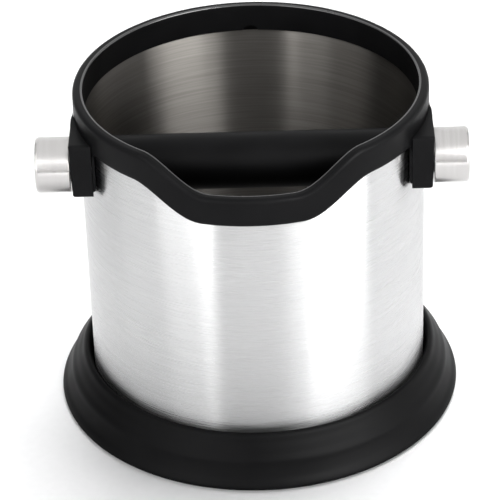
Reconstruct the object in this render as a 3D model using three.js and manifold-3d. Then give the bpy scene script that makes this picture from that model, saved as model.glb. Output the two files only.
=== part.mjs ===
// Espresso knock box: a brushed steel canister with a moulded rim, a rubber base boot and a
// rubber-covered knock bar that is held between two steel end knobs.
// Millimetres, +Z up. The origin is on the floor, on the canister's axis. The notched front faces -Y
// and the knock bar lies along X.
import * as THREE from "three";
import { mergeVertices } from "three/addons/utils/BufferGeometryUtils.js";
import Module from "manifold-3d";

const wasm = await Module();
wasm.setup();

// ---- Driving dimensions ----
const HEIGHT = 129.5; // floor to the top of the rim
const CAN_RADIUS = 63.5;
const WALL = 0.8; // sheet thickness of the canister
const WALL_TOP = HEIGHT - 3.6; // the rim hides the canister's edge
const GAP = 0.3; // clearance between neighbouring pieces
const FOOT = 3.2; // height of the canister's lower edge above the floor
const PAN_FLANGE = 3.6;

const RIM_OUTER = 65.1;
const RIM_INNER = 61.3;
const RIM_BAND = 11; // height of the rim's skirts
const RIM_SKIN = 1.3; // thickness of the outer skirt
const CREST_OUTER_ROUND = 1.8;
const CREST_INNER_ROUND = 0.6;
const ARCH_RADIUS = 3.4; // of the shallow arched recess in the inner skirt, at the back
const ARCH_HEIGHT = 2;
const ARCH_DEPTH = 0.6;
const NOTCH_LOW = { full: 16, none: 40.5, depth: 11.6 }; // along the skirt's lower edge, degrees and mm
const NOTCH_TOP = { full: 14, none: 38, depth: 12 }; // along the top of the rim
const EAR_LOW = 100.6;
const EAR_FRONT = -30.6;
const EAR_REAR = 3.4;
const EAR_CORNER = 3.5;

const BAR_Y = -22; // the bar sits in front of the centre
const BAR_Z = 109.1;
const SLEEVE_RADIUS = 10.2;
const SLEEVE_END = 53;
const CORE_RADIUS = 5;
const CORE_END = 51;
const CORE_BORE_END = 20; // deep enough for a stud to be pushed in when the bar is lifted out

const STUD_RADIUS = 2.9;
const STUD_CLEARANCE = 3.25; // radius of every hole around a stud
const STUD_INNER_END = 33;
const STUD_OUTER_END = 73.6;
const WASHER_THICKNESS = 0.6;
const FLANGE_RADIUS = 4.8;
const FLANGE_THICKNESS = 1.1;
const BUSH_RADIUS = 6;
const SPIGOT_RADIUS = 5;

const SEAT_X = 65.5; // flat outer face of the side blocks
const BLOCK_FRONT = -31.7;
const BLOCK_REAR = -5;
const BLOCK_LOW = EAR_LOW;
const BLOCK_HIGH = 121.6;

const SCREW_RADIUS = 1.1;
const SCREW_HOLE = 1.4;
const SCREW_ANGLE = 26; // from the X axis towards the front
const SCREW_Z = BAR_Z - 6.6;
const SCREW_TIP = 67.6;

const HOLE_START = 50; // inside the canister, where the holes through its wall start
const HOLE_END = 70; // outside everything they pass through

const KNOB_RADIUS = 10.15;
const KNOB_END = 78;
const KNOB_CHAMFER = 0.6;
const KNOB_FACE = SEAT_X + GAP;
const RECESS_DEPTH = 2;
const RECESS_RADIUS = 6.2;

const BOOT_RADIUS = 76.4;
const BOOT_TOP = 19.2;
const BOOT_FLOOR = 2.9;
const BOOT_INNER_EDGE = 50;

const RIM_FACETS = 96;
const BOOT_FACETS = 80;
const SMALL_FACETS = 32;

const SIDES = { left: -1, right: 1 };

// ---- Materials ----
function material(color, roughness, metalness) {
  return new THREE.MeshStandardMaterial({ color, roughness, metalness });
}

const brushedSteel = material(0xc8c8c6, 0.32, 1);
const turnedSteel = material(0xd2d0ce, 0.28, 1);
const zincSteel = material(0xa8abad, 0.4, 1);
const rimPlastic = material(0x1c1c1e, 0.42, 0);
const nylon = material(0x2a2a2c, 0.55, 0);
const barRubber = material(0x141415, 0.6, 0);
const bootRubber = material(0x19191b, 0.55, 0);

// ---- Solids ----
// A closed three.js geometry as a solid. Triangles that collapse on a lathe's axis are left out.
function solid(geometry) {
  const bare = geometry.index ? geometry.toNonIndexed() : geometry.clone();
  bare.deleteAttribute("normal");
  bare.deleteAttribute("uv");
  const merged = mergeVertices(bare, 1e-4);
  const corners = merged.index.array;
  const kept = [];
  for (let i = 0; i < corners.length; i += 3) {
    const [a, b, c] = corners.slice(i, i + 3);
    if (a !== b && b !== c && c !== a) kept.push(a, b, c);
  }
  return new wasm.Manifold(
    new wasm.Mesh({
      numProp: 3,
      vertProperties: merged.attributes.position.array,
      triVerts: new Uint32Array(kept),
    }),
  );
}

function geometryOf(shape) {
  const { vertProperties, triVerts } = shape.getMesh();
  const flat = new THREE.BufferGeometry();
  flat.setAttribute("position", new THREE.BufferAttribute(vertProperties, 3));
  flat.setIndex(new THREE.BufferAttribute(triVerts, 1));
  const faceted = flat.toNonIndexed();
  faceted.computeVertexNormals();
  return faceted;
}

// The profile's [radius, z] points run anticlockwise, from axis to axis or closed on themselves.
function turnedGeometry(profile, facets = RIM_FACETS) {
  const points = profile.map(([radius, z]) => new THREE.Vector2(radius, z));
  return new THREE.LatheGeometry(points, facets).rotateX(Math.PI / 2);
}

function disc(radius, low, high) {
  const profile = [
    [0, low],
    [radius, low],
    [radius, high],
    [0, high],
  ];
  return solid(turnedGeometry(profile));
}

function ring(inner, outer, low, high) {
  const profile = [
    [inner, low],
    [outer, low],
    [outer, high],
    [inner, high],
    [inner, low],
  ];
  return solid(turnedGeometry(profile));
}

// A piece turned about the bar's axis. Its [distance from the middle, radius] points start and end
// on the axis, or close on themselves, and side puts it on the left or on the right.
function barTurned(profile, side, facets = SMALL_FACETS) {
  const points = profile.map(([along, radius]) => new THREE.Vector2(radius, along));
  const turned = new THREE.LatheGeometry(points, facets).rotateZ((-side * Math.PI) / 2);
  return solid(turned.translate(0, BAR_Y, BAR_Z));
}

function barCylinder(radius, from, to, side) {
  const profile = [
    [from, 0],
    [from, radius],
    [to, radius],
    [to, 0],
  ];
  return barTurned(profile, side);
}

// ---- The rim's notch ----
// How far the rim dips at a point, for a share of the skirt's height from 0 at its lower edge to 1
// at the top. The dip runs round the front as a smooth S on each side of a flat middle.
function notchDip(x, y, share) {
  const blend = (key) => THREE.MathUtils.lerp(NOTCH_LOW[key], NOTCH_TOP[key], share);
  const angle = THREE.MathUtils.radToDeg(Math.atan2(Math.abs(x), -y));
  return blend("depth") * THREE.MathUtils.smoothstep(-angle, -blend("none"), -blend("full"));
}

function dipped(geometry, above) {
  const position = geometry.attributes.position;
  for (let i = 0; i < position.count; i++) {
    const z = position.getZ(i);
    if (z < above) continue;
    const share = THREE.MathUtils.clamp((z - HEIGHT + RIM_BAND) / RIM_BAND, 0, 1);
    position.setZ(i, z - notchDip(position.getX(i), position.getY(i), share));
  }
  return geometry;
}

// ---- Holes for the bar's bushes and for the block screws ----
function radialCylinder(radius, from, to, side) {
  const profile = [
    [from, 0],
    [from, radius],
    [to, radius],
    [to, 0],
  ];
  return radialTurned(profile, side);
}

// A piece turned about a screw's axis, which points away from the canister's axis.
function radialTurned(profile, side) {
  const points = profile.map(([along, radius]) => new THREE.Vector2(radius, along));
  const turned = new THREE.LatheGeometry(points, 16).rotateZ((-side * Math.PI) / 2);
  turned.rotateZ(-side * THREE.MathUtils.degToRad(SCREW_ANGLE));
  return solid(turned.translate(0, 0, SCREW_Z));
}

function fixingHoles() {
  const holes = Object.values(SIDES).flatMap((side) => [
    barCylinder(SPIGOT_RADIUS + GAP, HOLE_START, HOLE_END, side),
    radialCylinder(SCREW_HOLE, HOLE_START, SCREW_TIP + 0.4, side),
  ]);
  return holes.reduce((all, hole) => all.add(hole));
}

// ---- Canister ----

function canisterWall() {
  const inner = CAN_RADIUS - WALL;
  const profile = [
    [inner, FOOT],
    [CAN_RADIUS, FOOT],
    [CAN_RADIUS, WALL_TOP],
    [inner, WALL_TOP],
    [inner, FOOT],
  ];
  const wall = solid(dipped(turnedGeometry(profile), HEIGHT / 2));
  return wall.subtract(fixingHoles());
}

// The pressed floor pan, with the upturned flange that is welded to the wall.
function canisterFloor() {
  const outer = CAN_RADIUS - WALL - GAP;
  const low = FOOT + 1;
  const profile = [
    [0, low],
    [outer, low],
    [outer, low + PAN_FLANGE],
    [outer - WALL, low + PAN_FLANGE],
    [outer - WALL, low + WALL],
    [0, low + WALL],
  ];
  return solid(turnedGeometry(profile));
}

// ---- Rim ----
// A quarter circle in a turned profile, from one angle to another in degrees.
function quarter(radius, z, round, from, to, steps) {
  return Array.from({ length: steps + 1 }, (_, i) => {
    const turn = THREE.MathUtils.degToRad(from + ((to - from) * i) / steps);
    return [radius + round * Math.cos(turn), z + round * Math.sin(turn)];
  });
}

// The U-shaped section that straddles the canister's edge, well rounded outside and tight inside.
function rimBand() {
  const low = HEIGHT - RIM_BAND;
  const slotTop = HEIGHT - 3.2;
  const outerRound = CREST_OUTER_ROUND;
  const innerRound = CREST_INNER_ROUND;
  const profile = [
    [RIM_OUTER - RIM_SKIN, low],
    [RIM_OUTER, low],
    ...quarter(RIM_OUTER - outerRound, HEIGHT - outerRound, outerRound, 0, 90, 4),
    ...quarter(RIM_INNER + innerRound, HEIGHT - innerRound, innerRound, 90, 180, 2),
    [RIM_INNER, low],
    [RIM_INNER + RIM_SKIN - 0.2, low],
    [RIM_INNER + RIM_SKIN - 0.2, slotTop],
    [RIM_OUTER - RIM_SKIN, slotTop],
    [RIM_OUTER - RIM_SKIN, low],
  ];
  return solid(dipped(turnedGeometry(profile), 0));
}

// The skirt's ears: the part of a ring that an outline with rounded lower corners keeps.
function ears() {
  const low = EAR_LOW;
  const top = HEIGHT - RIM_BAND + 2;
  const corner = low + EAR_CORNER;
  const outline = new THREE.Shape();
  outline.moveTo(EAR_FRONT, top);
  outline.lineTo(EAR_FRONT, corner);
  outline.absarc(EAR_FRONT + EAR_CORNER, corner, EAR_CORNER, Math.PI, 1.5 * Math.PI);
  outline.absarc(EAR_REAR - EAR_CORNER, corner, EAR_CORNER, 1.5 * Math.PI, 2 * Math.PI);
  outline.lineTo(EAR_REAR, top);
  const width = 4 * CAN_RADIUS;
  const prism = new THREE.ExtrudeGeometry(outline, {
    depth: width,
    bevelEnabled: false,
    curveSegments: 8,
  });
  const alongX = new THREE.Matrix4().makeBasis(
    new THREE.Vector3(0, 1, 0),
    new THREE.Vector3(0, 0, 1),
    new THREE.Vector3(1, 0, 0),
  );
  prism.applyMatrix4(alongX).translate(-width / 2, 0, 0);
  return ring(RIM_OUTER - RIM_SKIN, RIM_OUTER, low - 1, top).intersect(solid(prism));
}

function backArch() {
  const centre = HEIGHT - RIM_BAND + ARCH_HEIGHT - ARCH_RADIUS;
  const length = 2;
  const pocket = new THREE.CylinderGeometry(ARCH_RADIUS, ARCH_RADIUS, length, 32);
  return solid(pocket.translate(0, RIM_INNER + ARCH_DEPTH - length / 2, centre));
}

function rimCollar() {
  return rimBand().add(ears()).subtract(backArch()).subtract(fixingHoles());
}

// A flat seat for the knob, square to the bar, hollowed to sit on the ear and thin at its rear end.
function sideBlock(side) {
  const plan = [
    [HOLE_START, BLOCK_FRONT],
    [SEAT_X, BLOCK_FRONT],
    [SEAT_X, BLOCK_REAR],
    [HOLE_START, BLOCK_REAR],
  ];
  const outline = new THREE.Shape(plan.map(([x, y]) => new THREE.Vector2(side * x, y)));
  const height = BLOCK_HIGH - BLOCK_LOW;
  const tall = new THREE.ExtrudeGeometry(outline, { depth: height, bevelEnabled: false });
  const seat = solid(tall.translate(0, 0, BLOCK_LOW));
  return seat.subtract(disc(RIM_OUTER + GAP, BLOCK_LOW - 1, HEIGHT)).subtract(fixingHoles());
}

// ---- Base boot ----
// A flared foot below, a soft valley, and a rounded collar that stands off the canister at its lip.
function baseBoot() {
  const lip = CAN_RADIUS + 1.1;
  const profile = [
    [BOOT_INNER_EDGE, 0],
    [BOOT_RADIUS - 1.8, 0],
    [BOOT_RADIUS - 0.5, 0.4],
    [BOOT_RADIUS, 1.4],
    [BOOT_RADIUS - 0.6, 2.8],
    [BOOT_RADIUS - 1.8, 4.5],
    [BOOT_RADIUS - 2.8, 6.5],
    [BOOT_RADIUS - 3.65, 8.5],
    [BOOT_RADIUS - 4.4, 10.5],
    [BOOT_RADIUS - 5.8, 12.5],
    [BOOT_RADIUS - 7, 14.5],
    [BOOT_RADIUS - 8.2, 16.3],
    [BOOT_RADIUS - 9.2, BOOT_TOP - 1],
    [BOOT_RADIUS - 10.3, BOOT_TOP - 0.1],
    [BOOT_RADIUS - 11.2, BOOT_TOP - 0.4],
    [lip, BOOT_TOP - 1.6],
    [lip, BOOT_TOP - 4],
    [CAN_RADIUS + GAP, BOOT_TOP - 5],
    [CAN_RADIUS + GAP, BOOT_FLOOR],
    [BOOT_INNER_EDGE, BOOT_FLOOR],
    [BOOT_INNER_EDGE, 0],
  ];
  return solid(turnedGeometry(profile, BOOT_FACETS));
}

// ---- Knock bar ----
function barCore() {
  const bore = (side) => barCylinder(STUD_CLEARANCE, CORE_BORE_END, CORE_END + 1, side);
  const rod = barCylinder(CORE_RADIUS, -CORE_END, CORE_END, 1);
  return rod.subtract(bore(-1)).subtract(bore(1));
}

function barSleeve() {
  const inner = CORE_RADIUS + GAP;
  const round = 0.8;
  const profile = [
    [-SLEEVE_END, inner],
    [-SLEEVE_END, SLEEVE_RADIUS - round],
    [-SLEEVE_END + round, SLEEVE_RADIUS],
    [SLEEVE_END - round, SLEEVE_RADIUS],
    [SLEEVE_END, SLEEVE_RADIUS - round],
    [SLEEVE_END, inner],
    [-SLEEVE_END, inner],
  ];
  return barTurned(profile, 1, 40);
}

const WASHER_START = CORE_END + GAP;
const FLANGE_START = WASHER_START + WASHER_THICKNESS + GAP;
const BUSH_START = FLANGE_START + FLANGE_THICKNESS + GAP;

function thrustWasher(side) {
  const end = WASHER_START + WASHER_THICKNESS;
  const profile = [
    [WASHER_START, STUD_CLEARANCE],
    [WASHER_START, FLANGE_RADIUS],
    [end, FLANGE_RADIUS],
    [end, STUD_CLEARANCE],
    [WASHER_START, STUD_CLEARANCE],
  ];
  return barTurned(profile, side);
}

// A smooth pin that the bar turns on, a flange inside the wall, and a thread for the knob outside.
function pivotStud(side) {
  const end = FLANGE_START + FLANGE_THICKNESS;
  const profile = [
    [STUD_INNER_END, 0],
    [STUD_INNER_END, STUD_RADIUS - 0.5],
    [STUD_INNER_END + 0.5, STUD_RADIUS],
    [FLANGE_START, STUD_RADIUS],
    [FLANGE_START, FLANGE_RADIUS],
    [end, FLANGE_RADIUS],
    [end, STUD_RADIUS],
    [STUD_OUTER_END - 0.5, STUD_RADIUS],
    [STUD_OUTER_END, STUD_RADIUS - 0.5],
    [STUD_OUTER_END, 0],
  ];
  return barTurned(profile, side);
}

// Inside, the bush is shaped to the canister's curve. Its spigot passes the wall, ear and block.
function saddleBush(side) {
  const saddle = barCylinder(BUSH_RADIUS, BUSH_START, CAN_RADIUS, side);
  const fitted = saddle.intersect(disc(CAN_RADIUS - WALL - GAP, 0, HEIGHT));
  const spigot = barCylinder(SPIGOT_RADIUS, BUSH_START + 1, SEAT_X - 0.4, side);
  const bore = barCylinder(STUD_CLEARANCE, HOLE_START, HOLE_END, side);
  return fitted.add(spigot).subtract(bore);
}

// A pan-head screw from inside the canister through the wall and the ear into the block.
function blockScrew(side) {
  const head = CAN_RADIUS - WALL - 0.4;
  const profile = [
    [head - 1, 0],
    [head - 1, 1.6],
    [head - 0.7, 2],
    [head, 2],
    [head, SCREW_RADIUS],
    [SCREW_TIP - 1.4, SCREW_RADIUS],
    [SCREW_TIP, 0],
  ];
  return radialTurned(profile, side);
}

// ---- End knobs ----
function knob(side) {
  const bevel = KNOB_CHAMFER;
  const profile = [
    [KNOB_FACE + RECESS_DEPTH, STUD_CLEARANCE],
    [KNOB_FACE + RECESS_DEPTH, RECESS_RADIUS],
    [KNOB_FACE, RECESS_RADIUS],
    [KNOB_FACE, KNOB_RADIUS - bevel],
    [KNOB_FACE + bevel, KNOB_RADIUS],
    [KNOB_END - bevel, KNOB_RADIUS],
    [KNOB_END, KNOB_RADIUS - bevel],
    [KNOB_END, 0],
    [STUD_OUTER_END + 0.6, 0],
    [STUD_OUTER_END + 0.6, STUD_CLEARANCE],
    [KNOB_FACE + RECESS_DEPTH, STUD_CLEARANCE],
  ];
  return barTurned(profile, side, 40);
}

// The rubber ring that lies in the knob's recess and keeps it from working loose.
function oRing(side) {
  const section = 0.85;
  const torus = new THREE.TorusGeometry(4.7, section, 8, 24).rotateY(Math.PI / 2);
  return solid(torus.translate(side * (KNOB_FACE + RECESS_DEPTH / 2), BAR_Y, BAR_Z));
}

// ---- Assembly ----
const knockBox = new THREE.Group();

function place(name, shape, surface) {
  const piece = new THREE.Mesh(geometryOf(shape), surface);
  piece.name = name;
  knockBox.add(piece);
}

place("canister_wall", canisterWall(), brushedSteel);
place("canister_floor", canisterFloor(), brushedSteel);
place("rim_collar", rimCollar(), rimPlastic);
place("base_boot", baseBoot(), bootRubber);
place("knock_bar_core", barCore(), zincSteel);
place("knock_bar_sleeve", barSleeve(), barRubber);
for (const [name, side] of Object.entries(SIDES)) {
  place(`side_block_${name}`, sideBlock(side), rimPlastic);
  place(`block_screw_${name}`, blockScrew(side), zincSteel);
  place(`pivot_stud_${name}`, pivotStud(side), zincSteel);
  place(`thrust_washer_${name}`, thrustWasher(side), zincSteel);
  place(`saddle_bush_${name}`, saddleBush(side), nylon);
  place(`o_ring_${name}`, oRing(side), barRubber);
  place(`knob_${name}`, knob(side), turnedSteel);
}

export default knockBox;
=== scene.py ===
"""Visual model of the espresso knock box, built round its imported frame. Outlines are in millimetres."""
import math

import bmesh
import bpy
from mathutils import Matrix, Vector


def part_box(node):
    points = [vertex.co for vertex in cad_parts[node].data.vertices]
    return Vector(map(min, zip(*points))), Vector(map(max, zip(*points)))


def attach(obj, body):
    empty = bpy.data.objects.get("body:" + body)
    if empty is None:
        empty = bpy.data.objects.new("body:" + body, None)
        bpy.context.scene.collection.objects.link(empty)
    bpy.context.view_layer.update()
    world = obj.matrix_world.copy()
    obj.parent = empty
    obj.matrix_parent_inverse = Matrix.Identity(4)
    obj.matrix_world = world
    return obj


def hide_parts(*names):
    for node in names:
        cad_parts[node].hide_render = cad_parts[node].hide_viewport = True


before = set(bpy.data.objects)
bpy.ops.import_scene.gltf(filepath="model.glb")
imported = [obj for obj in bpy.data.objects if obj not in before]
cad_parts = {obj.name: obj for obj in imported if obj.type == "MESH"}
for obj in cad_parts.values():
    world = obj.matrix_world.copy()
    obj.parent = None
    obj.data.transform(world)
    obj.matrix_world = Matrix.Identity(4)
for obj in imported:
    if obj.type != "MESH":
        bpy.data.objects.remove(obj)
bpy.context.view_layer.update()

MM = 0.001
SIDES = {"left": -1, "right": 1}


def size(node):
    """The lowest and highest corner of a CAD node, in millimetres."""
    low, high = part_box(node)
    return low / MM, high / MM


# ---- Driving dimensions, from the frame ----
HEIGHT = size("rim_collar")[1].z
CAN_RADIUS = size("canister_wall")[1].x
RIM_OUTER = size("rim_collar")[1].x
EAR_LOW = size("rim_collar")[0].z
BOOT_RADIUS = size("base_boot")[1].x
BOOT_TOP = size("base_boot")[1].z
SLEEVE_LOW, SLEEVE_HIGH = size("knock_bar_sleeve")
BAR_Y = (SLEEVE_LOW.y + SLEEVE_HIGH.y) / 2
BAR_Z = (SLEEVE_LOW.z + SLEEVE_HIGH.z) / 2
SLEEVE_RADIUS = (SLEEVE_HIGH.z - SLEEVE_LOW.z) / 2
SLEEVE_END = SLEEVE_HIGH.x
CORE_END = size("knock_bar_core")[1].x
BLOCK_LOW, BLOCK_HIGH = size("side_block_right")
KNOB_LOW, KNOB_HIGH = size("knob_right")
KNOB_RADIUS = (KNOB_HIGH.z - KNOB_LOW.z) / 2
FOOT = size("canister_wall")[0].z

# ---- Details that the frame's boxes don't give ----
WALL = 0.8
WALL_TOP = HEIGHT - 3.6
GAP = 0.3
RIM_INNER = 61.3
RIM_BAND = 11
RIM_SKIN = 1.3
CREST_OUTER_ROUND = 1.8
CREST_INNER_ROUND = 0.6
EDGE_LINE = 0.9
ARCH_RADIUS = 3.4
ARCH_HEIGHT = 2
ARCH_DEPTH = 0.6
# The arch is only cut where it is higher than this.
ARCH_STEP = 0.6
# The notch at the rim's lower edge and at its top: it is at its full depth within the first angle
# from the front, and ends at the second.
NOTCH_LOW = {"full": 16, "none": 40.5, "depth": 11.6}
NOTCH_TOP = {"full": 14, "none": 38, "depth": 12}
EAR_FRONT = -30.6
EAR_REAR = 3.4
EAR_CORNER = 3.5
STUD_RADIUS = 2.9
STUD_CLEARANCE = 3.25
THREAD_START = 60
THREAD_PITCH = 1
THREAD_DEPTH = 0.55
SPIGOT_RADIUS = 5
SCREW_ANGLE = 26
SCREW_Z = BAR_Z - 6.6
SCREW_TIP = 67.6


# ---- Outlines ----
def lerp(a, b, share):
    """The value that lies a share of the way from a to b."""
    return a + (b - a) * share


def arc(centre, radius, start, end, steps):
    """Points round part of a circle, from one angle to another in degrees."""
    angles = [math.radians(lerp(start, end, i / steps)) for i in range(steps + 1)]
    return [(centre[0] + radius * math.cos(a), centre[1] + radius * math.sin(a)) for a in angles]


def rounded(corners, steps=5):
    """The closed outline of (x, y, radius) corners, each rounded by its radius."""
    outline = []
    for i, (x, y, radius) in enumerate(corners):
        here = Vector((x, y))
        if not radius:
            outline.append((x, y))
            continue
        before = (Vector(corners[i - 1][:2]) - here).normalized()
        after = (Vector(corners[(i + 1) % len(corners)][:2]) - here).normalized()
        half = before.angle(after) / 2
        reach = radius / math.tan(half)
        centre = here + (before + after).normalized() * radius / math.sin(half)
        start, end = here + before * reach - centre, here + after * reach - centre
        turn = start.angle_signed(end)
        for k in range(steps + 1):
            offset = Matrix.Rotation(-turn * k / steps, 2) @ start
            outline.append(tuple(centre + offset))
    return outline


def through(points, steps=4):
    """A smooth open curve through the points (Catmull-Rom)."""
    ends = [points[0], *points, points[-1]]
    curve = []
    for a, b, c, d in zip(ends, ends[1:], ends[2:], ends[3:]):
        for k in range(steps):
            t = k / steps
            curve.append(tuple(
                0.5 * (2 * q + (r - p) * t + (2 * p - 5 * q + 4 * r - s) * t * t
                       + (3 * q - p - 3 * r + s) * t ** 3)
                for p, q, r, s in zip(a, b, c, d)))
    return curve + [points[-1]]


# ---- Meshes ----
def piece(name, points, faces, material, body, node, sharp=32):
    """A mesh of points in millimetres that stands for a CAD node and rides on its body."""
    mesh = bpy.data.meshes.new(name)
    mesh.from_pydata([Vector(p) * MM for p in points], [], faces)
    form = bmesh.new()
    form.from_mesh(mesh)
    bmesh.ops.remove_doubles(form, verts=form.verts, dist=1e-7)
    bmesh.ops.recalc_face_normals(form, faces=form.faces)
    form.to_mesh(mesh)
    form.free()
    mesh.shade_smooth()
    mesh.set_sharp_from_angle(angle=math.radians(sharp))
    mesh.materials.append(material)
    obj = bpy.data.objects.new(name, mesh)
    bpy.context.collection.objects.link(obj)
    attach(obj, body)
    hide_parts(node)
    return obj


def grid_faces(rows, columns, close_rows, close_columns):
    """Quads over rows x columns of points, joined up at the ends where asked."""
    faces = []
    for i in range(rows if close_rows else rows - 1):
        for j in range(columns if close_columns else columns - 1):
            a, b = i * columns, (i + 1) % rows * columns
            k = (j + 1) % columns
            faces.append((a + j, a + k, b + k, b + j))
    return faces


def turned(outline, segments, closed=True):
    """Points and faces of (radius, height) outline turned about Z."""
    points = []
    for radius, height in outline:
        for j in range(segments):
            angle = 2 * math.pi * j / segments
            points.append((radius * math.sin(angle), -radius * math.cos(angle), height))
    return points, grid_faces(len(outline), segments, closed, True)


def moved(points, matrix):
    """The points turned and shifted by the matrix."""
    return [tuple(matrix @ Vector(p)) for p in points]


def bar_matrix(side):
    """Turns Z to the bar's axis, pointing outwards on that side."""
    turn = Matrix.Rotation(side * math.pi / 2, 4, "Y")
    return Matrix.Translation((0, BAR_Y, BAR_Z)) @ turn


def screw_matrix(side):
    """Turns Z to a block screw's axis, pointing outwards."""
    swing = Matrix.Rotation(-side * math.radians(SCREW_ANGLE), 4, "Z")
    turn = Matrix.Rotation(side * math.pi / 2, 4, "Y")
    return Matrix.Translation((0, 0, SCREW_Z)) @ swing @ turn


# ---- Materials ----
def node_material(name):
    """A new node material, with its tree and its shader."""
    material = bpy.data.materials.new(name)
    material.use_nodes = True
    tree = material.node_tree
    return material, tree, tree.nodes["Principled BSDF"]


def streaks(tree, scale, detail=3.0):
    """Noise over the object's own coordinates, stretched by a scale for each axis."""
    place = tree.nodes.new("ShaderNodeTexCoord")
    stretch = tree.nodes.new("ShaderNodeMapping")
    noise = tree.nodes.new("ShaderNodeTexNoise")
    stretch.inputs["Scale"].default_value = scale
    noise.inputs["Scale"].default_value = 1
    noise.inputs["Detail"].default_value = detail
    tree.links.new(place.outputs["Object"], stretch.inputs["Vector"])
    tree.links.new(stretch.outputs["Vector"], noise.inputs["Vector"])
    return noise.outputs["Fac"]


def between(tree, source, low, high, start=0.3, end=0.7):
    """The source's value taken from start..end to low..high."""
    span = tree.nodes.new("ShaderNodeMapRange")
    span.inputs["From Min"].default_value = start
    span.inputs["From Max"].default_value = end
    span.inputs["To Min"].default_value = low
    span.inputs["To Max"].default_value = high
    tree.links.new(source, span.inputs["Value"])
    return span.outputs["Result"]


def tint(tree, source, dark, light):
    """A colour between two, by the source's value."""
    mix = tree.nodes.new("ShaderNodeMix")
    mix.data_type = "RGBA"
    mix.inputs["A"].default_value = (*dark, 1)
    mix.inputs["B"].default_value = (*light, 1)
    tree.links.new(source, mix.inputs["Factor"])
    return mix.outputs["Result"]


def bump(tree, shader, source, strength, distance):
    """Relief from the source's value, up to a distance in metres."""
    relief = tree.nodes.new("ShaderNodeBump")
    relief.inputs["Strength"].default_value = strength
    relief.inputs["Distance"].default_value = distance
    tree.links.new(source, relief.inputs["Height"])
    tree.links.new(relief.outputs["Normal"], shader.inputs["Normal"])


def brushed_steel(name, axis, fine, dark, light, rough, spread=1.0, relief=0.1):
    """Steel brushed round an axis, with fine lines and broader bands along it."""
    material, tree, shader = node_material(name)
    along = "XYZ".index(axis)
    coarse = 30.0
    scale = [coarse] * 3
    scale[along] = fine
    lines = streaks(tree, scale, 5)
    scale[along] = fine / 6
    bands = streaks(tree, scale, 2)
    shader.inputs["Metallic"].default_value = 1
    shader.inputs["Anisotropic"].default_value = spread
    shader.inputs["Anisotropic Rotation"].default_value = 0.25
    tangent = tree.nodes.new("ShaderNodeTangent")
    tangent.direction_type = "RADIAL"
    tangent.axis = axis
    tree.links.new(tangent.outputs["Tangent"], shader.inputs["Tangent"])
    tree.links.new(tint(tree, between(tree, bands, 0, 1), dark, light), shader.inputs["Base Color"])
    tree.links.new(between(tree, lines, *rough), shader.inputs["Roughness"])
    bump(tree, shader, lines, relief, 0.00002)
    return material


def moulded(name, dark, light, rough, grain, strength, specular):
    """Black plastic or rubber with a fine moulded grain and a little unevenness in its sheen."""
    material, tree, shader = node_material(name)
    pores = streaks(tree, (grain,) * 3, 2)
    patches = streaks(tree, (60,) * 3, 3)
    tree.links.new(tint(tree, between(tree, patches, 0, 1), dark, light), shader.inputs["Base Color"])
    tree.links.new(between(tree, patches, *rough), shader.inputs["Roughness"])
    shader.inputs["Specular IOR Level"].default_value = specular
    bump(tree, shader, pores, strength, 0.00004)
    return material


WALL_STEEL = brushed_steel(
    "wall_steel", "Z", 9000, dark=(0.545, 0.545, 0.549), light=(0.57, 0.57, 0.571),
    rough=(0.27, 0.28), relief=0.04)
# The can's inside face: the same brushed steel darkened to about a quarter as painted shade for the deep
# can, and a little warmer.
SHADED_INSIDE_STEEL = brushed_steel(
    "inside_steel_painted_shade", "Z", 8000, dark=(0.142, 0.134, 0.123), light=(0.178, 0.169, 0.158),
    rough=(0.35, 0.39), relief=0.06)
FLOOR_STEEL = brushed_steel(
    "floor_steel", "Z", 900, dark=(0.5, 0.5, 0.5), light=(0.6, 0.6, 0.595), rough=(0.3, 0.42))
KNOB_STEEL = brushed_steel(
    "knob_steel", "X", 5000, dark=(0.535, 0.523, 0.515), light=(0.57, 0.56, 0.552),
    rough=(0.24, 0.27), spread=0.55, relief=0.04)
PLATED_STEEL = brushed_steel(
    "plated_steel", "X", 1500, dark=(0.42, 0.43, 0.44), light=(0.52, 0.53, 0.54), rough=(0.3, 0.4))

RIM_DARK = (0.0044, 0.0044, 0.0047)
RIM_LIGHT = (0.0058, 0.0058, 0.0062)
RIM_PLASTIC = moulded(
    "rim_plastic", RIM_DARK, RIM_LIGHT, rough=(0.38, 0.46), grain=2600, strength=0.2, specular=0.05)
RIM_EDGE = moulded(
    "rim_edge", RIM_DARK, RIM_LIGHT, rough=(0.24, 0.3), grain=2600, strength=0.1, specular=0.9)
# Matt and near-black: the black is painted shade in the shallow recess at the back of the rim.
RECESS_PAINTED_SHADE = moulded(
    "rim_recess_painted_shade", dark=(0.0003, 0.0003, 0.0003), light=(0.0005, 0.0005, 0.0005),
    rough=(0.6, 0.7), grain=2600, strength=0.2, specular=0.02)
NYLON = moulded(
    "nylon", dark=(0.02, 0.02, 0.022), light=(0.028, 0.028, 0.03),
    rough=(0.45, 0.55), grain=2000, strength=0.2, specular=0.3)
SLEEVE_RUBBER = moulded(
    "sleeve_rubber", dark=(0.002, 0.002, 0.0022), light=(0.0035, 0.0035, 0.0038),
    rough=(0.42, 0.5), grain=1800, strength=0.25, specular=0.06)
BOOT_RUBBER = moulded(
    "boot_rubber", dark=(0.0013, 0.0013, 0.0015), light=(0.0024, 0.0024, 0.0026),
    rough=(0.42, 0.5), grain=2200, strength=0.2, specular=0.055)


# ---- The rim's notch ----
def smoothstep(value, low, high):
    """Rises smoothly from 0 at low to 1 at high."""
    share = min(1, max(0, (value - low) / (high - low)))
    return share * share * (3 - 2 * share)


def notch_dip(degrees, share):
    """How far the rim dips at an angle from the front, from its lower edge (0) to its top (1)."""
    full, none, depth = (lerp(NOTCH_LOW[k], NOTCH_TOP[k], share) for k in ("full", "none", "depth"))
    return depth * smoothstep(-abs(degrees), -none, -full)


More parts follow.
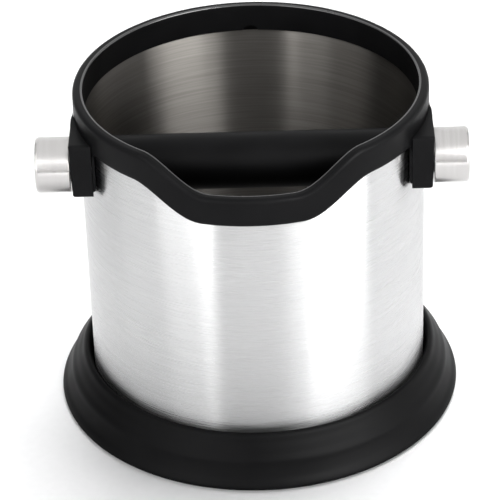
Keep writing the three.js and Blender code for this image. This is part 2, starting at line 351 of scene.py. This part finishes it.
def dipped(point):
    """The point moved down with the rim, if it lies in the can's upper half."""
    x, y, z = point
    if z < HEIGHT / 2:
        return point
    share = min(1, max(0, (z - HEIGHT + RIM_BAND) / RIM_BAND))
    return x, y, z - notch_dip(math.degrees(math.atan2(x, -y)), share)


# ---- Canister ----
def canister():
    """The rolled wall, which follows the rim's notch above its waist, and the pan in its lower end."""
    inner = CAN_RADIUS - WALL
    waist = HEIGHT / 2 + 1
    round_off = 0.3
    outline = rounded([
        (inner, FOOT, round_off),
        (CAN_RADIUS, FOOT, round_off),
        (CAN_RADIUS, waist, 0),
        (CAN_RADIUS, WALL_TOP, round_off),
        (inner, WALL_TOP, round_off),
        (inner, waist, 0),
    ], 3)
    points, faces = turned(outline, 288)
    points = [dipped(p) for p in points]
    wall = piece("can_wall", points, faces, WALL_STEEL, "canister", "canister_wall")
    wall.data.materials.append(SHADED_INSIDE_STEEL)
    # The inside faces take the darker steel, which is painted shade for the can's interior.
    for polygon in wall.data.polygons:
        if polygon.center.xy.length < (inner + 0.1) * MM:
            polygon.material_index = 1

    outer = inner - GAP
    low = FOOT + 1
    plate = low + WALL
    raised = plate + 0.6
    flange = size("canister_floor")[1].z
    pan = [
        (0.01, low, 0),
        (outer, low, 1.6),
        (outer, flange, round_off),
        (outer - WALL, flange, round_off),
        (outer - WALL, plate, 0.9),
        (outer - 6, plate, 0.5),
        (outer - 7, raised, 0.5),
        (0.01, raised, 0),
    ]
    points, faces = turned(rounded(pan), 192)
    piece("can_floor", points, faces, FLOOR_STEEL, "canister", "canister_floor")


# ---- Rim collar ----
def skirt_path():
    """The outer skirt's lower edge on the right, as (arc length, height, angle of the column's top)."""
    low_edge = HEIGHT - RIM_BAND
    degree = RIM_OUTER * math.pi / 180
    front, rear = (RIM_OUTER * math.acos(-y / RIM_OUTER) for y in (EAR_FRONT, EAR_REAR))
    flat = rear - front - 2 * EAR_CORNER
    shoulder, corner = low_edge - 0.6, EAR_LOW + EAR_CORNER
    down, turns, across = 8, 12, 14
    ear = [(front, lerp(shoulder, corner, i / down)) for i in range(down)]
    ear += arc((front + EAR_CORNER, corner), EAR_CORNER, 180, 270, turns)
    ear += [(front + EAR_CORNER + flat * i / across, EAR_LOW) for i in range(1, across)]
    ear += arc((rear - EAR_CORNER, corner), EAR_CORNER, 270, 360, turns)
    ear += [(rear, lerp(corner, shoulder, i / down)) for i in range(1, down + 1)]

    # The columns between these two angles run down into the ear.
    start, end = 56, 94
    path = [(d * degree, low_edge - notch_dip(d, 0), d) for d in range(start - 1)]
    path.append((start * degree - 0.2, low_edge, start - 0.4))
    path += [(s, z, lerp(start, end, i / (len(ear) - 1))) for i, (s, z) in enumerate(ear)]
    path.append((end * degree + 0.4, low_edge, end + 0.6))

    # Columns stand two degrees apart behind the ear, and half a degree apart at the arch.
    path += [(d * degree, low_edge, d) for d in range(end + 2, 174, 2)]
    path += [(d / 2 * degree, low_edge, d / 2) for d in range(348, 361)]
    return path


def rim_columns():
    """The whole way round, with the inward direction of the lower edge at each column."""
    right = skirt_path()
    left = [(-s, z, -top) for s, z, top in right[-2:0:-1]]
    path = right + left
    columns = []
    for i, (s, z, top) in enumerate(path):
        s0, z0, _ = path[i - 1]
        s1, z1, _ = path[(i + 1) % len(path)]
        around = 2 * math.pi * RIM_OUTER
        tangent = Vector(((s1 - s0 + around / 2) % around - around / 2, z1 - z0)).normalized()
        columns.append((s, z, top, Vector((-tangent.y, tangent.x))))
    return columns


def arch_height(degrees):
    """How far the shallow recess at the back reaches up the inner skirt."""
    across = RIM_INNER * math.radians(180 - abs(degrees))
    drop = ARCH_RADIUS - ARCH_HEIGHT
    return math.sqrt(max(drop ** 2, ARCH_RADIUS ** 2 - across ** 2)) - drop


def rim_point(radius, arc_length, height):
    """A point by its arc length from the front, measured round the rim's outside."""
    angle = arc_length / RIM_OUTER
    return radius * math.sin(angle), -radius * math.cos(angle), height


def rim_section(s, z, top, inward):
    """One column's points: up the outside, over the crest, down the lining and the skirt's back."""
    top_s = math.radians(top) * RIM_OUTER
    shoulder = HEIGHT - CREST_OUTER_ROUND - notch_dip(top, 1)
    inner_low = HEIGHT - RIM_BAND - notch_dip(top, 0)
    arch = arch_height(top)
    arch_top = inner_low + max(ARCH_STEP, arch)
    recess = ARCH_DEPTH if arch > ARCH_STEP else 0
    back = RIM_OUTER - RIM_SKIN
    lining = RIM_INNER + RIM_SKIN - 0.2
    foot = Vector((s, z)) + inward * 0.5
    rows = 9

    def up_to(share, radius):
        """A point on the outer skirt, from just above its lower edge (0) to the shoulder (1)."""
        return rim_point(radius, lerp(foot.x, top_s, share), lerp(foot.y, shoulder, share))

    crest = [
        *arc((RIM_OUTER - CREST_OUTER_ROUND, -CREST_OUTER_ROUND), CREST_OUTER_ROUND, 10, 90, 8),
        (RIM_INNER + EDGE_LINE, 0),
        *arc((RIM_INNER + CREST_INNER_ROUND, -CREST_INNER_ROUND), CREST_INNER_ROUND, 90, 180, 5),
    ]
    inside = [
        (RIM_INNER, shoulder),
        (RIM_INNER, lerp(shoulder, arch_top, 0.5)),
        (RIM_INNER, arch_top + 0.1),
        (RIM_INNER + recess, arch_top),
        (RIM_INNER + recess, inner_low + 0.3),
        (RIM_INNER + max(0.3, recess), inner_low),
        (lining, inner_low),
        (lining, shoulder - 1.2),
    ]
    # Radius and setback of the rounded lower edge, from its inner to its outer side.
    edge = [
        (back, 0.2),
        (back + 0.2, 0),
        (RIM_OUTER - 0.35, 0.02),
        (RIM_OUTER - 0.1, 0.2),
        (RIM_OUTER, 0.5),
    ]
    points = [up_to(i / rows, RIM_OUTER) for i in range(1, rows + 1)]
    points += [rim_point(radius, top_s, shoulder + CREST_OUTER_ROUND + drop) for radius, drop in crest]
    points += [rim_point(radius, top_s, height) for radius, height in inside]
    points.append(up_to(0.92, back))
    points += [up_to(i / rows, back) for i in range(rows - 2, 0, -1)]
    for radius, setback in edge:
        points.append(rim_point(radius, s + inward.x * setback, z + inward.y * setback))
    return points


def finish_rim(moulding):
    """Gives the crest's inner edge its polish, and the arched recess a matt finish with a near-black
    colour that is painted shade.
    """
    moulding.data.materials.append(RIM_EDGE)
    moulding.data.materials.append(RECESS_PAINTED_SHADE)
    polished, matt = 1, 2
    for polygon in moulding.data.polygons:
        x, y, _ = polygon.center / MM
        radius = math.hypot(x, y)
        on_edge = radius < RIM_INNER + EDGE_LINE and polygon.normal.z > 0.25
        # Faces inside the arch at the recess's depth get the near-black painted shade.
        in_arch = arch_height(math.degrees(math.atan2(x, -y))) > ARCH_STEP - 0.1
        at_depth = abs(radius - RIM_INNER - ARCH_DEPTH) < 0.35
        if on_edge:
            polygon.material_index = polished
        elif in_arch and at_depth:
            polygon.material_index = matt


def rim_collar():
    """One moulding that straddles the can's edge, with an ear down each side."""
    columns = [rim_section(*column) for column in rim_columns()]
    points = [point for column in columns for point in column]
    faces = grid_faces(len(columns), len(columns[0]), True, True)
    moulding = piece("rim_collar_moulding", points, faces, RIM_PLASTIC, "canister", "rim_collar",
                     sharp=40)
    finish_rim(moulding)


# ---- Side blocks ----
def side_block(name, side):
    """Lofted from the front face to the rear, where the block thins out on the ear."""
    seat, front, rear = BLOCK_HIGH.x, BLOCK_LOW.y, BLOCK_HIGH.y
    low, high = BLOCK_LOW.z, BLOCK_HIGH.z
    draft = 0.6
    full_run = 0.7
    thin = 2.2
    taper = 6
    steps = 22
    stations = [(0, full_run), (0.2, 0.25), (full_run, 0)]
    stations += [(lerp(full_run, rear - front, i / steps), 0) for i in range(1, steps + 1)]
    points = []
    for run, inset in stations:
        y = front + run
        hug = math.sqrt((RIM_OUTER + 0.12) ** 2 - y * y)
        groove = 0.5 * max(0, 1 - run / full_run)
        out = seat - (seat - hug - 0.05) * smoothstep(y, rear - taper, rear)
        if out - hug > thin:
            section = rounded([
                (hug + groove, low + inset, 0),
                (out - draft - inset, low + inset, 0.9),
                (out - inset, high - inset, 0.5),
                (hug + groove, high - inset, 0),
            ], 4)
        else:
            lean = draft * min(1, (out - hug) / thin)
            section = [
                (hug + groove, low + inset),
                *[(out - lean, low + inset + 0.15 * k) for k in range(5)],
                *[(out, high - inset - 0.1 * (4 - k)) for k in range(5)],
                (hug + groove, high - inset),
            ]
        points += [(side * x, y, z) for x, z in section]
    count = len(points) // len(stations)
    faces = grid_faces(len(stations), count, False, True)
    faces.append(tuple(range(count)))
    faces.append(tuple(range(len(points) - count, len(points))))
    piece(f"block_{name}", points, faces, RIM_PLASTIC, "canister", f"side_block_{name}", sharp=30)


# ---- Base boot ----
def base_boot():
    """A flared foot and a rounded collar, open in the middle."""
    outside = [
        (BOOT_RADIUS - 1.8, 0),
        (BOOT_RADIUS - 0.5, 0.4),
        (BOOT_RADIUS, 1.4),
        (BOOT_RADIUS - 0.6, 2.8),
        (BOOT_RADIUS - 1.8, 4.5),
        (BOOT_RADIUS - 2.8, 6.5),
        (BOOT_RADIUS - 3.65, 8.5),
        (BOOT_RADIUS - 4.4, 10.5),
        (BOOT_RADIUS - 5.8, 12.5),
        (BOOT_RADIUS - 7, 14.5),
        (BOOT_RADIUS - 8.2, 16.3),
        (BOOT_RADIUS - 9.2, BOOT_TOP - 1),
        (BOOT_RADIUS - 10.3, BOOT_TOP - 0.1),
        (BOOT_RADIUS - 11.2, BOOT_TOP - 0.4),
        (CAN_RADIUS + 1.1, BOOT_TOP - 1.6),
    ]
    inside = [
        (CAN_RADIUS + 1.1, BOOT_TOP - 4),
        (CAN_RADIUS + GAP, BOOT_TOP - 5),
        (CAN_RADIUS + GAP, 2.9),
        (50, 2.9),
        (50, 0),
    ]
    points, faces = turned(through(outside) + inside, 288)
    piece("boot", points, faces, BOOT_RUBBER, "canister", "base_boot")


# ---- Knock bar ----
def bar_piece(name, side, outline, segments, material, body, node):
    """A turned piece on the bar's axis, with the outline's heights measured outwards on that side."""
    points, faces = turned(outline, segments)
    return piece(name, moved(points, bar_matrix(side)), faces, material, body, node)


def knock_bar():
    """The rubber sleeve on its steel core, which has a deep bore in each end."""
    inner = size("knock_bar_core")[1].z - BAR_Z
    sleeve = rounded([
        (inner + GAP, -SLEEVE_END, 0.4),
        (SLEEVE_RADIUS, -SLEEVE_END, 1.2),
        (SLEEVE_RADIUS, SLEEVE_END, 1.2),
        (inner + GAP, SLEEVE_END, 0.4),
    ])
    bar_piece("bar_sleeve", 1, sleeve, 96, SLEEVE_RUBBER, "bar", "knock_bar_sleeve")
    bore = 20
    core = rounded([
        (0.01, -bore, 0),
        (STUD_CLEARANCE, -bore, 0),
        (STUD_CLEARANCE, -CORE_END, 0.4),
        (inner, -CORE_END, 0.5),
        (inner, CORE_END, 0.5),
        (STUD_CLEARANCE, CORE_END, 0.4),
        (STUD_CLEARANCE, bore, 0),
        (0.01, bore, 0),
    ], 3)
    bar_piece("bar_core", 1, core, 64, PLATED_STEEL, "bar", "knock_bar_core")


def thread_ring(along, pitch, segments, radius_at):
    """A ring of points round a thread. radius_at takes how deep in the groove a point is, from 0 to 1."""
    ring = []
    for j in range(segments):
        share = (along / pitch - j / segments) % 1
        radius = radius_at(1 - abs(2 * share - 1))
        angle = 2 * math.pi * j / segments
        ring.append((radius * math.sin(angle), -radius * math.cos(angle), along))
    return ring


def pivot_stud(name, side):
    """A smooth pin, a flange, and outside the wall a helical thread."""
    low, high = size("pivot_stud_right")
    flange_low = size("thrust_washer_right")[1].x + GAP
    flange_high = flange_low + 1.1
    flange_radius = (high.z - low.z) / 2
    plain = rounded([
        (0.01, low.x, 0),
        (STUD_RADIUS, low.x, 0.6),
        (STUD_RADIUS, flange_low, 0.2),
        (flange_radius, flange_low, 0.3),
        (flange_radius, flange_high, 0.3),
        (STUD_RADIUS, flange_high, 0.2),
        (STUD_RADIUS, THREAD_START, 0),
    ], 3)
    segments, rows_per_turn = 32, 8
    points, _ = turned(plain, segments)
    thread_rows = int((high.x - THREAD_START - 1) * rows_per_turn / THREAD_PITCH)
    for i in range(thread_rows + 1):
        along = THREAD_START + i / rows_per_turn
        depth = THREAD_DEPTH * min(1, i / 12, (thread_rows - i) / 10)
        points += thread_ring(along, THREAD_PITCH, segments,
                              lambda groove: STUD_RADIUS - depth * groove ** 0.8)
    tip = [(STUD_RADIUS - 0.5, high.x - 0.4), (STUD_RADIUS - 1.1, high.x), (0.01, high.x)]
    points += turned(tip, segments)[0]
    faces = grid_faces(len(points) // segments, segments, True, True)
    piece(f"stud_{name}", moved(points, bar_matrix(side)), faces, PLATED_STEEL, "canister",
          f"pivot_stud_{name}", sharp=50)


def thrust_washer(name, side):
    """A plain ring between the core's end and the stud's flange."""
    low, high = size("thrust_washer_right")
    radius = (high.z - low.z) / 2
    outline = rounded([
        (STUD_CLEARANCE, low.x, 0.15),
        (radius, low.x, 0.2),
        (radius, high.x, 0.2),
        (STUD_CLEARANCE, high.x, 0.15),
    ], 3)
    bar_piece(f"washer_{name}", side, outline, 64, PLATED_STEEL, "canister",
              f"thrust_washer_{name}")


def saddle_bush(name, side):
    """Its outer flange follows the wall's curve, and its spigot goes through the wall."""
    low, high = size("saddle_bush_right")
    flange_radius = (high.z - low.z) / 2
    shoulder = 59
    fit = CAN_RADIUS - WALL - GAP
    outline = rounded([
        (STUD_CLEARANCE, low.x, 0.3),
        (flange_radius, low.x, 0.5),
        (flange_radius, shoulder, 0),
        (SPIGOT_RADIUS, shoulder, 0),
        (SPIGOT_RADIUS, high.x, 0.4),
        (STUD_CLEARANCE, high.x, 0.3),
    ], 3)
    points, faces = turned(outline, 64)
    shaped = []
    for x, y, z in moved(points, bar_matrix(side)):
        if abs(abs(x) - shoulder) < 1e-3:
            x = side * math.sqrt(fit * fit - y * y)
        shaped.append((x, y, z))
    piece(f"bush_{name}", shaped, faces, NYLON, "canister", f"saddle_bush_{name}")


def block_screw(name, side):
    """A pan-head screw with a cross recess, and a thread that runs out to a point."""
    head = CAN_RADIUS - WALL - 0.4
    shank, pitch, thread_depth, point_length = 1.1, 0.8, 0.3, 1.6
    segments, rows = 48, 40
    # Radius and how far each point stands inwards of the head's seat.
    pan_head = [(0.02, 1), (0.35, 1), (0.7, 1), (1.05, 1), (1.2, 0.99), (1.4, 0.97), (1.7, 0.85),
                (1.95, 0.55), (2, 0.2), (2, 0), (1.05, 0)]
    points, _ = turned([(radius, head - rise) for radius, rise in pan_head], segments)
    for i, (x, y, z) in enumerate(points):
        if math.hypot(x, y) < shank and min(abs(x), abs(y)) < 0.25:
            points[i] = (x, y, z + 0.5)
    for i in range(1, rows + 1):
        along = lerp(head, SCREW_TIP, i / rows)
        taper = min(1, (SCREW_TIP - along) / point_length)
        points += thread_ring(along, pitch, segments,
                              lambda groove: max(0.02, taper * (shank - thread_depth * groove)))
    faces = grid_faces(len(points) // segments, segments, True, True)
    piece(f"screw_{name}", moved(points, screw_matrix(side)), faces, PLATED_STEEL, "canister",
          f"block_screw_{name}", sharp=50)


# ---- End knobs ----
def end_knob(name, side):
    """Turned down at its outer end, with a recess for the o-ring and a bore for the stud."""
    face, end = KNOB_LOW.x - 0.2, KNOB_HIGH.x
    ring_seat, ring_radius = face + 2.2, 6.2
    bore_end = size("pivot_stud_right")[1].x + 0.6
    dish = end - 0.15
    outline = rounded([
        (STUD_CLEARANCE, ring_seat, 0.3),
        (ring_radius, ring_seat, 0.3),
        (ring_radius, face, 0.3),
        (KNOB_RADIUS, face, 0.2),
        (KNOB_RADIUS, end - 0.9, 0.15),
        (KNOB_RADIUS - 0.45, end, 0.15),
        (KNOB_RADIUS - 1.5, end, 0.1),
        (KNOB_RADIUS - 1.8, dish, 0.1),
        (0.01, dish, 0),
        (0.01, bore_end, 0),
        (STUD_CLEARANCE, bore_end, 0),
    ], 5)
    bar_piece(f"knob_{name}_turned", side, outline, 128, KNOB_STEEL, f"end_knob_{name}",
              f"knob_{name}")


def seal_ring(name, side):
    """The o-ring in the knob's recess."""
    low, high = size("o_ring_right")
    section = (high.x - low.x) / 2
    centre = (high.z - low.z) / 2 - section
    outline = arc((centre, (low.x + high.x) / 2), section, 0, 345, 23)
    bar_piece(f"seal_ring_{name}", side, outline, 64, SLEEVE_RUBBER, f"ring_carrier_{name}",
              f"o_ring_{name}")


# ---- Floor, light and camera ----
def card(name, half_width, half_height):
    """A flat card in its own XY plane."""
    mesh = bpy.data.meshes.new(name)
    w, h = half_width, half_height
    mesh.from_pydata([(-w, -h, 0), (w, -h, 0), (w, h, 0), (-w, h, 0)], [], [(0, 1, 2, 3)])
    obj = bpy.data.objects.new(name, mesh)
    bpy.context.collection.objects.link(obj)
    return obj


def paper(name, grain, dark, light, rough):
    """A matt surface with a faint grain."""
    material, tree, shader = node_material(name)
    shader.inputs["Roughness"].default_value = rough
    source = between(tree, streaks(tree, (grain,) * 3), 0, 1)
    tree.links.new(tint(tree, source, dark, light), shader.inputs["Base Color"])
    return material, shader


def studio():
    """A pale paper floor and a faint even light all round."""
    reach = 4
    floor = card("floor", reach, reach)
    material, shader = paper("floor_paper", 300, (0.93, 0.93, 0.935), (0.95, 0.95, 0.955), 0.6)
    shader.inputs["Specular IOR Level"].default_value = 0.2
    floor.data.materials.append(material)

    world = bpy.data.worlds.new("studio")
    world.use_nodes = True
    backdrop = world.node_tree.nodes["Background"]
    backdrop.inputs["Color"].default_value = (0.98, 0.99, 1, 1)
    backdrop.inputs["Strength"].default_value = 0.15
    bpy.context.scene.world = world


def aim(obj, place, target):
    """Puts obj at a place with its -Z axis towards the target."""
    obj.location = place
    obj.rotation_euler = (Vector(target) - Vector(place)).to_track_quat("-Z", "Y").to_euler()


def around(azimuth, distance, height):
    """A place by its angle from the front towards the right, in degrees."""
    angle = math.radians(azimuth)
    return Vector((distance * math.sin(angle), -distance * math.cos(angle), height))


def panel(name, width, height, radiance):
    """A rectangle of light, in metres, that is as bright as asked whatever its size."""
    light = bpy.data.lights.new(name, "AREA")
    light.shape = "RECTANGLE"
    light.size = width
    light.size_y = height
    light.energy = radiance * math.pi * width * height
    obj = bpy.data.objects.new(name, light)
    bpy.context.collection.objects.link(obj)
    return obj


def softbox(name, start, end, distance, low, high, radiance, on_floor=False):
    """A panel between two angles from the front and two heights. It shows in reflections, and lights
    matt surfaces only when it is on_floor."""
    width = 2 * distance * math.tan(math.radians(end - start) / 2)
    obj = panel(name, width, high - low, radiance)
    middle = (low + high) / 2
    aim(obj, around((start + end) / 2, distance, middle), (0, 0, middle))
    obj.visible_diffuse = on_floor


def lamp(name, side, place, radiance):
    """A square panel turned towards the object, that lights matt surfaces but isn't reflected."""
    obj = panel(name, side, side, radiance)
    aim(obj, place, (0, 0, 0))
    obj.visible_glossy = False


def flag(name, start, end, distance, low, high):
    """A dark card that only shows in reflections, as the unlit side of a studio does."""
    middle = (low + high) / 2
    obj = card(name, distance * math.tan(math.radians(end - start) / 2), (high - low) / 2)
    material, _ = paper(name, 200, (0.03, 0.026, 0.022), (0.05, 0.044, 0.038), 0.9)
    obj.data.materials.append(material)
    aim(obj, around((start + end) / 2, distance, middle), (0, 0, middle))
    obj.visible_camera = False
    obj.visible_diffuse = False
    obj.visible_shadow = False


def lights():
    """Panels for the reflections in the steel, and lamps for the floor and the black parts."""
    softbox("key_low", 32, 73, 1.3, 0.1, 0.75, 9.2)
    softbox("key_high", 22, 66, 1.3, 0.75, 1.5, 15)
    softbox("side_right", 78, 125, 1.3, 0.1, 0.7, 2.6)
    softbox("edge_left", -32.5, -25.5, 1.3, 0.1, 1.5, 8)
    softbox("fill_left", -56, -32.5, 1.3, 0.1, 1.5, 3.5)
    softbox("far_left", -90, -56, 1.3, 0.1, 1.5, 1.3)
    softbox("front", -25.5, 31, 1.6, 0.2, 1.3, 0.75)
    softbox("back", 140, 220, 1.5, 0.1, 1.2, 1, on_floor=True)
    flag("front_flag", -27, 33, 1.55, 0, 0.2)

    ceiling_side, ceiling_place = 4.4, (0, 0, 1.7)
    ceiling = panel("ceiling", ceiling_side, ceiling_side, 0.95)
    aim(ceiling, ceiling_place, (0, 0, 0))
    ceiling.visible_diffuse = False
    lamp("wash", ceiling_side, ceiling_place, 0.85)
    lamp("top_back", 1.5, (0.25, 0.7, 1.6), 5.8)
    lamp("front_fill", 0.8, (0.1, -1.5, 0.26), 14)


def camera():
    """Looks down at the object from the front, with a slight lean."""
    azimuth, elevation, roll = (math.radians(d) for d in (0.79, 31.99, -1.89))
    distance, left, height = 1.0226, 2.15 * MM, 56.83 * MM
    back = Vector((
        math.sin(azimuth) * math.cos(elevation),
        -math.cos(azimuth) * math.cos(elevation),
        math.sin(elevation),
    ))
    level = Vector((math.cos(azimuth), math.sin(azimuth), 0))
    upright = back.cross(level)
    right = math.cos(roll) * level + math.sin(roll) * upright
    up = math.cos(roll) * upright - math.sin(roll) * level
    target = level * -left + Vector((0, 0, height))
    lens = bpy.data.cameras.new("camera")
    lens.lens = 194.4
    lens.clip_end = 20
    obj = bpy.data.objects.new("camera", lens)
    bpy.context.collection.objects.link(obj)
    turn = Matrix((right, up, back)).transposed().to_4x4()
    obj.matrix_world = Matrix.Translation(target + back * distance) @ turn
    bpy.context.scene.camera = obj


canister()
rim_collar()
base_boot()
knock_bar()
for side_name, side_sign in SIDES.items():
    side_block(side_name, side_sign)
    pivot_stud(side_name, side_sign)
    thrust_washer(side_name, side_sign)
    saddle_bush(side_name, side_sign)
    block_screw(side_name, side_sign)
    end_knob(side_name, side_sign)
    seal_ring(side_name, side_sign)
studio()
lights()
camera()
bpy.context.scene.view_settings.view_transform = "Standard"
